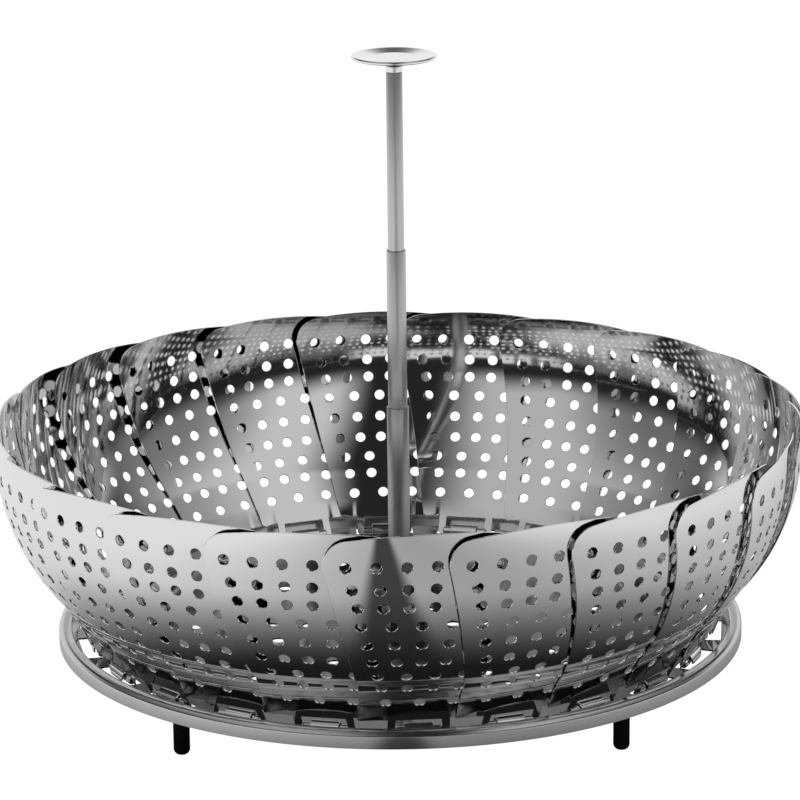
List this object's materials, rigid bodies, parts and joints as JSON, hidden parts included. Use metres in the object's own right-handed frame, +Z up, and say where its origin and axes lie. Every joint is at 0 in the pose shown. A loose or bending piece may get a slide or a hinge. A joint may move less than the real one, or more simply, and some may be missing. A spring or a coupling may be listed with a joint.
{
  "type": "steamer insert",
  "caption": "Folding steamer insert: a perforated round base on rubber feet, a ring of overlapping hinged leaves that fold inward, and a telescopic handle with a disc knob.",
  "frame": {"origin": "on the ground under the middle of the base, at the flat ends of the feet", "axes": "+Z up along the handle; -Y is the side that faces the camera in the picture; +X is to the right in the picture"},
  "size_m": [0.2156, 0.2136, 0.1763],
  "materials": {
    "polished_steel": "polished, almost a mirror",
    "satin_steel": "satin",
    "brushed_steel": "brushed along the tube",
    "black_rubber": "smooth, slightly glossy"
  },
  "bodies": {
    "base": {"base_plate": "satin_steel", "handle_nut": "satin_steel", "handle_bolt": "satin_steel", "lower_tube": "brushed_steel", "foot_1": "black_rubber", "foot_2": "black_rubber", "foot_3": "black_rubber"},
    "leaf_01": {"leaf_01": "polished_steel"},
    "leaf_02": {"leaf_02": "polished_steel"},
    "leaf_03": {"leaf_03": "polished_steel"},
    "leaf_04": {"leaf_04": "polished_steel"},
    "leaf_05": {"leaf_05": "polished_steel"},
    "leaf_06": {"leaf_06": "polished_steel"},
    "leaf_07": {"leaf_07": "polished_steel"},
    "leaf_08": {"leaf_08": "polished_steel"},
    "leaf_09": {"leaf_09": "polished_steel"},
    "leaf_10": {"leaf_10": "polished_steel"},
    "leaf_11": {"leaf_11": "polished_steel"},
    "leaf_12": {"leaf_12": "polished_steel"},
    "leaf_13": {"leaf_13": "polished_steel"},
    "leaf_14": {"leaf_14": "polished_steel"},
    "leaf_15": {"leaf_15": "polished_steel"},
    "leaf_16": {"leaf_16": "polished_steel"},
    "leaf_17": {"leaf_17": "polished_steel"},
    "leaf_18": {"leaf_18": "polished_steel"},
    "leaf_19": {"leaf_19": "polished_steel"},
    "leaf_20": {"leaf_20": "polished_steel"},
    "leaf_21": {"leaf_21": "polished_steel"},
    "leaf_22": {"leaf_22": "polished_steel"},
    "middle_section": {"middle_tube": "brushed_steel"},
    "top_section": {"top_tube": "brushed_steel", "knob": "brushed_steel"}
  },
  "joints": [
    {"name": "leaf_01_hinge", "type": "hinge", "parent": "base", "child": "leaf_01", "pos_m": [0.0042, -0.08009, 0.0238], "axis": [-0.9986, -0.0523, 0], "range_deg": [-13, 86]},
    {"name": "leaf_02_hinge", "type": "hinge", "parent": "base", "child": "leaf_02", "pos_m": [0.02659, -0.07566, 0.0238], "axis": [-0.9434, -0.3316, 0], "range_deg": [-13, 86]},
    {"name": "leaf_03_hinge", "type": "hinge", "parent": "base", "child": "leaf_03", "pos_m": [0.04683, -0.06511, 0.0238], "axis": [-0.8118, -0.5839, 0], "range_deg": [-13, 86]},
    {"name": "leaf_04_hinge", "type": "hinge", "parent": "base", "child": "leaf_04", "pos_m": [0.06328, -0.04928, 0.0238], "axis": [-0.6144, -0.789, 0], "range_deg": [-13, 86]},
    {"name": "leaf_05_hinge", "type": "hinge", "parent": "base", "child": "leaf_05", "pos_m": [0.0746, -0.02945, 0.0238], "axis": [-0.3672, -0.9301, 0], "range_deg": [-13, 86]},
    {"name": "leaf_06_hinge", "type": "hinge", "parent": "base", "child": "leaf_06", "pos_m": [0.07987, -0.00724, 0.0238], "axis": [-0.0903, -0.9959, 0], "range_deg": [-13, 86]},
    {"name": "leaf_07_hinge", "type": "hinge", "parent": "base", "child": "leaf_07", "pos_m": [0.07868, 0.01555, 0.0238], "axis": [0.1939, -0.981, 0], "range_deg": [-13, 86]},
    {"name": "leaf_08_hinge", "type": "hinge", "parent": "base", "child": "leaf_08", "pos_m": [0.07111, 0.03709, 0.0238], "axis": [0.4625, -0.8866, 0], "range_deg": [-13, 86]},
    {"name": "leaf_09_hinge", "type": "hinge", "parent": "base", "child": "leaf_09", "pos_m": [0.05778, 0.05562, 0.0238], "axis": [0.6935, -0.7204, 0], "range_deg": [-13, 86]},
    {"name": "leaf_10_hinge", "type": "hinge", "parent": "base", "child": "leaf_10", "pos_m": [0.03977, 0.06965, 0.0238], "axis": [0.8684, -0.4959, 0], "range_deg": [-13, 86]},
    {"name": "leaf_11_hinge", "type": "hinge", "parent": "base", "child": "leaf_11", "pos_m": [0.01854, 0.07803, 0.0238], "axis": [0.9729, -0.2311, 0], "range_deg": [-13, 86]},
    {"name": "leaf_12_hinge", "type": "hinge", "parent": "base", "child": "leaf_12", "pos_m": [-0.0042, 0.08009, 0.0238], "axis": [0.9986, 0.0523, 0], "range_deg": [-13, 86]},
    {"name": "leaf_13_hinge", "type": "hinge", "parent": "base", "child": "leaf_13", "pos_m": [-0.02659, 0.07566, 0.0238], "axis": [0.9434, 0.3316, 0], "range_deg": [-13, 86]},
    {"name": "leaf_14_hinge", "type": "hinge", "parent": "base", "child": "leaf_14", "pos_m": [-0.04683, 0.06511, 0.0238], "axis": [0.8118, 0.5839, 0], "range_deg": [-13, 86]},
    {"name": "leaf_15_hinge", "type": "hinge", "parent": "base", "child": "leaf_15", "pos_m": [-0.06328, 0.04928, 0.0238], "axis": [0.6144, 0.789, 0], "range_deg": [-13, 86]},
    {"name": "leaf_16_hinge", "type": "hinge", "parent": "base", "child": "leaf_16", "pos_m": [-0.0746, 0.02945, 0.0238], "axis": [0.3672, 0.9301, 0], "range_deg": [-13, 86]},
    {"name": "leaf_17_hinge", "type": "hinge", "parent": "base", "child": "leaf_17", "pos_m": [-0.07987, 0.00724, 0.0238], "axis": [0.0903, 0.9959, 0], "range_deg": [-13, 86]},
    {"name": "leaf_18_hinge", "type": "hinge", "parent": "base", "child": "leaf_18", "pos_m": [-0.07868, -0.01555, 0.0238], "axis": [-0.1939, 0.981, 0], "range_deg": [-13, 86]},
    {"name": "leaf_19_hinge", "type": "hinge", "parent": "base", "child": "leaf_19", "pos_m": [-0.07111, -0.03709, 0.0238], "axis": [-0.4625, 0.8866, 0], "range_deg": [-13, 86]},
    {"name": "leaf_20_hinge", "type": "hinge", "parent": "base", "child": "leaf_20", "pos_m": [-0.05778, -0.05562, 0.0238], "axis": [-0.6935, 0.7204, 0], "range_deg": [-13, 86]},
    {"name": "leaf_21_hinge", "type": "hinge", "parent": "base", "child": "leaf_21", "pos_m": [-0.03977, -0.06965, 0.0238], "axis": [-0.8684, 0.4959, 0], "range_deg": [-13, 86]},
    {"name": "leaf_22_hinge", "type": "hinge", "parent": "base", "child": "leaf_22", "pos_m": [-0.01854, -0.07803, 0.0238], "axis": [-0.9729, 0.2311, 0], "range_deg": [-13, 86]},
    {"name": "middle_tube_slide", "type": "slide", "parent": "base", "child": "middle_section", "axis": [0, 0, 1], "range_m": [-0.0415, 0]},
    {"name": "top_tube_slide", "type": "slide", "parent": "middle_section", "child": "top_section", "axis": [0, 0, 1], "range_m": [-0.0415, 0]}
  ],
  "couplings": [
    {"joint": "leaf_02_hinge", "follows": "leaf_01_hinge", "ratio": 1},
    {"joint": "leaf_03_hinge", "follows": "leaf_01_hinge", "ratio": 1},
    {"joint": "leaf_04_hinge", "follows": "leaf_01_hinge", "ratio": 1},
    {"joint": "leaf_05_hinge", "follows": "leaf_01_hinge", "ratio": 1},
    {"joint": "leaf_06_hinge", "follows": "leaf_01_hinge", "ratio": 1},
    {"joint": "leaf_07_hinge", "follows": "leaf_01_hinge", "ratio": 1},
    {"joint": "leaf_08_hinge", "follows": "leaf_01_hinge", "ratio": 1},
    {"joint": "leaf_09_hinge", "follows": "leaf_01_hinge", "ratio": 1},
    {"joint": "leaf_10_hinge", "follows": "leaf_01_hinge", "ratio": 1},
    {"joint": "leaf_11_hinge", "follows": "leaf_01_hinge", "ratio": 1},
    {"joint": "leaf_12_hinge", "follows": "leaf_01_hinge", "ratio": 1},
    {"joint": "leaf_13_hinge", "follows": "leaf_01_hinge", "ratio": 1},
    {"joint": "leaf_14_hinge", "follows": "leaf_01_hinge", "ratio": 1},
    {"joint": "leaf_15_hinge", "follows": "leaf_01_hinge", "ratio": 1},
    {"joint": "leaf_16_hinge", "follows": "leaf_01_hinge", "ratio": 1},
    {"joint": "leaf_17_hinge", "follows": "leaf_01_hinge", "ratio": 1},
    {"joint": "leaf_18_hinge", "follows": "leaf_01_hinge", "ratio": 1},
    {"joint": "leaf_19_hinge", "follows": "leaf_01_hinge", "ratio": 1},
    {"joint": "leaf_20_hinge", "follows": "leaf_01_hinge", "ratio": 1},
    {"joint": "leaf_21_hinge", "follows": "leaf_01_hinge", "ratio": 1},
    {"joint": "leaf_22_hinge", "follows": "leaf_01_hinge", "ratio": 1}
  ]
}
